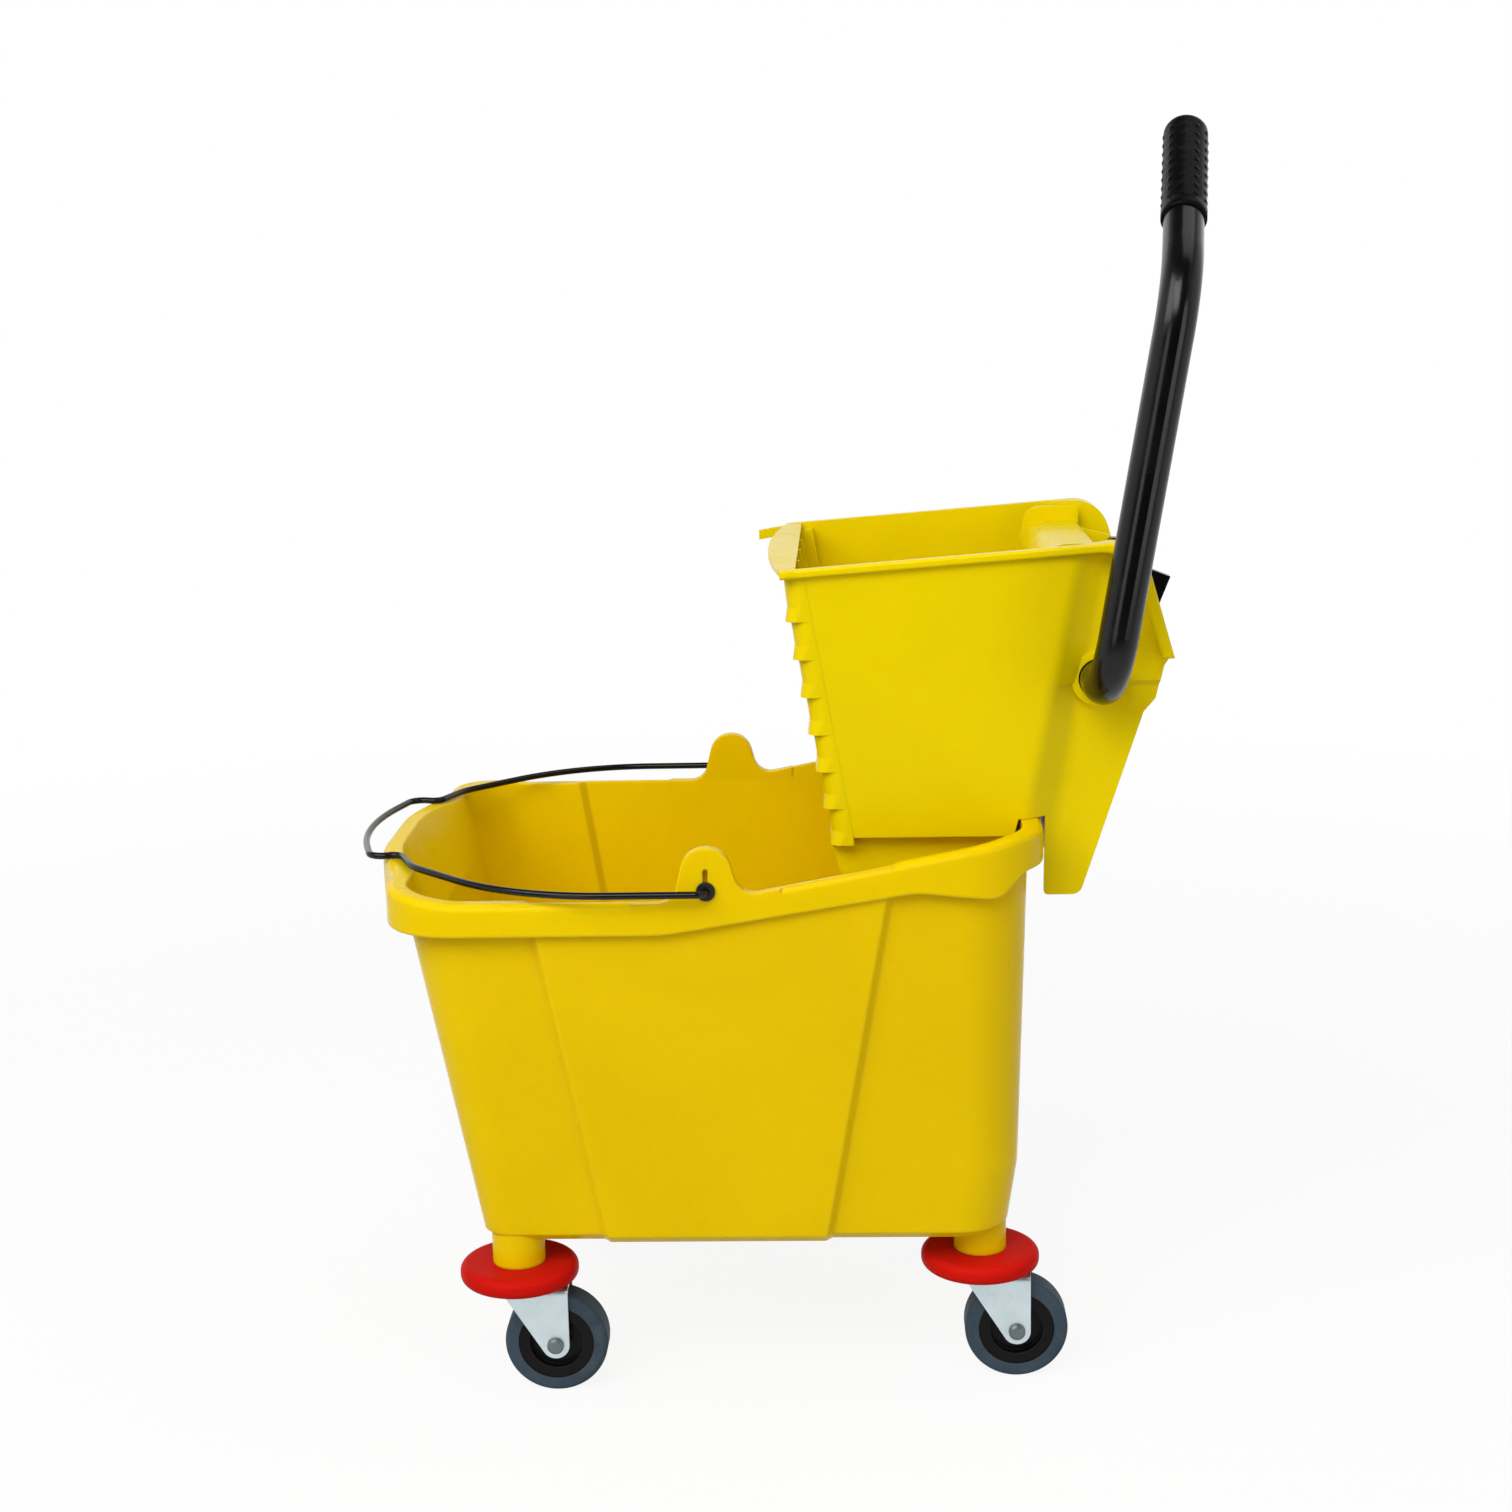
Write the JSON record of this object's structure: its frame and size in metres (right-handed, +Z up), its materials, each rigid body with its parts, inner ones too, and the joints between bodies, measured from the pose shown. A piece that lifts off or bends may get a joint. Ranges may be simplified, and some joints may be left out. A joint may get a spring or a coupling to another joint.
{
  "type": "mop bucket with wringer",
  "caption": "Wheeled plastic mop bucket with spout, wire bail, bumpers, swivel casters and a hooked-on lever wringer whose plate presses a mop against a louvred front.",
  "frame": {"origin": "on the floor, below the bail's pivot axis, midway between the bucket's sides", "axes": "+X towards the wringer end, +Y away from the handle's side, +Z up"},
  "size_m": [0.6145, 0.416, 0.8974],
  "materials": {
    "yellow_plastic": "satin moulded",
    "red_plastic": "satin moulded",
    "black_plastic": "moulded",
    "black_paint": "gloss powder coat",
    "grip_rubber": "moulded with small bumps",
    "bare_steel": "plain",
    "zinc_steel": "zinc plated",
    "hub_plastic": "moulded",
    "tyre_grey": "smooth"
  },
  "bodies": {
    "bucket": {"bucket_tub": "yellow_plastic", "bail_bush_near": "black_plastic", "bail_bush_far": "black_plastic", "bumper_front_near": "red_plastic", "caster_stem_front_near": "bare_steel", "bumper_front_far": "red_plastic", "caster_stem_front_far": "bare_steel", "bumper_rear_near": "red_plastic", "caster_stem_rear_near": "bare_steel", "bumper_rear_far": "red_plastic", "caster_stem_rear_far": "bare_steel"},
    "swivel_front_near": {"fork_front_near": "zinc_steel", "axle_bolt_front_near": "bare_steel", "axle_nut_front_near": "bare_steel"},
    "wheel_front_near": {"wheel_hub_front_near": "hub_plastic", "tyre_front_near": "tyre_grey", "axle_sleeve_front_near": "bare_steel"},
    "swivel_front_far": {"fork_front_far": "zinc_steel", "axle_bolt_front_far": "bare_steel", "axle_nut_front_far": "bare_steel"},
    "wheel_front_far": {"wheel_hub_front_far": "hub_plastic", "tyre_front_far": "tyre_grey", "axle_sleeve_front_far": "bare_steel"},
    "swivel_rear_near": {"fork_rear_near": "zinc_steel", "axle_bolt_rear_near": "bare_steel", "axle_nut_rear_near": "bare_steel"},
    "wheel_rear_near": {"wheel_hub_rear_near": "hub_plastic", "tyre_rear_near": "tyre_grey", "axle_sleeve_rear_near": "bare_steel"},
    "swivel_rear_far": {"fork_rear_far": "zinc_steel", "axle_bolt_rear_far": "bare_steel", "axle_nut_rear_far": "bare_steel"},
    "wheel_rear_far": {"wheel_hub_rear_far": "hub_plastic", "tyre_rear_far": "tyre_grey", "axle_sleeve_rear_far": "bare_steel"},
    "bail": {"bail_wire": "black_paint"},
    "wringer": {"wringer_basket": "yellow_plastic", "louvre_front": "yellow_plastic", "rear_cover": "yellow_plastic", "cover_screws": "bare_steel", "shaft_bush_near": "yellow_plastic", "shaft_bush_far": "yellow_plastic", "plate_pin": "bare_steel"},
    "handle": {"handle_tube": "black_paint", "handle_grip": "grip_rubber", "press_lever_near": "black_paint", "press_lever_far": "black_paint", "lever_bolts": "bare_steel", "shaft_end_cap": "black_plastic"},
    "press": {"press_plate": "yellow_plastic"}
  },
  "joints": [
    {"name": "swivel_front_near", "type": "hinge", "parent": "bucket", "child": "swivel_front_near", "pos_m": [-0.1465, -0.136, 0.09], "axis": [0, 0, 1], "continuous": true},
    {"name": "wheel_front_near", "type": "hinge", "parent": "swivel_front_near", "child": "wheel_front_near", "pos_m": [-0.1205, -0.136, 0.0375], "axis": [0, 1, 0], "continuous": true},
    {"name": "swivel_front_far", "type": "hinge", "parent": "bucket", "child": "swivel_front_far", "pos_m": [-0.1465, 0.136, 0.09], "axis": [0, 0, 1], "continuous": true},
    {"name": "wheel_front_far", "type": "hinge", "parent": "swivel_front_far", "child": "wheel_front_far", "pos_m": [-0.1205, 0.136, 0.0375], "axis": [0, 1, 0], "continuous": true},
    {"name": "swivel_rear_near", "type": "hinge", "parent": "bucket", "child": "swivel_rear_near", "pos_m": [0.189, -0.116, 0.09], "axis": [0, 0, 1], "continuous": true},
    {"name": "wheel_rear_near", "type": "hinge", "parent": "swivel_rear_near", "child": "wheel_rear_near", "pos_m": [0.215, -0.116, 0.0375], "axis": [0, 1, 0], "continuous": true},
    {"name": "swivel_rear_far", "type": "hinge", "parent": "bucket", "child": "swivel_rear_far", "pos_m": [0.189, 0.116, 0.09], "axis": [0, 0, 1], "continuous": true},
    {"name": "wheel_rear_far", "type": "hinge", "parent": "swivel_rear_far", "child": "wheel_rear_far", "pos_m": [0.189, 0.142, 0.0375], "axis": [-1, 0, 0], "continuous": true},
    {"name": "bail_swing", "type": "hinge", "parent": "bucket", "child": "bail", "pos_m": [0, 0, 0.3898], "axis": [0, 1, 0], "range_deg": [0, 90]},
    {"name": "wringer_lift", "type": "slide", "parent": "bucket", "child": "wringer", "axis": [0, 0, 1], "range_m": [0, 0.15]},
    {"name": "handle_pull", "type": "hinge", "parent": "wringer", "child": "handle", "pos_m": [0.271, 0, 0.5195], "axis": [0, -1, 0], "range_deg": [0, 75]},
    {"name": "press_swing", "type": "hinge", "parent": "wringer", "child": "press", "pos_m": [0.198, 0, 0.3883], "axis": [0, -1, 0], "range_deg": [0, 25]}
  ],
  "couplings": [
    {"joint": "press_swing", "follows": "handle_pull", "ratio": 0.329}
  ]
}
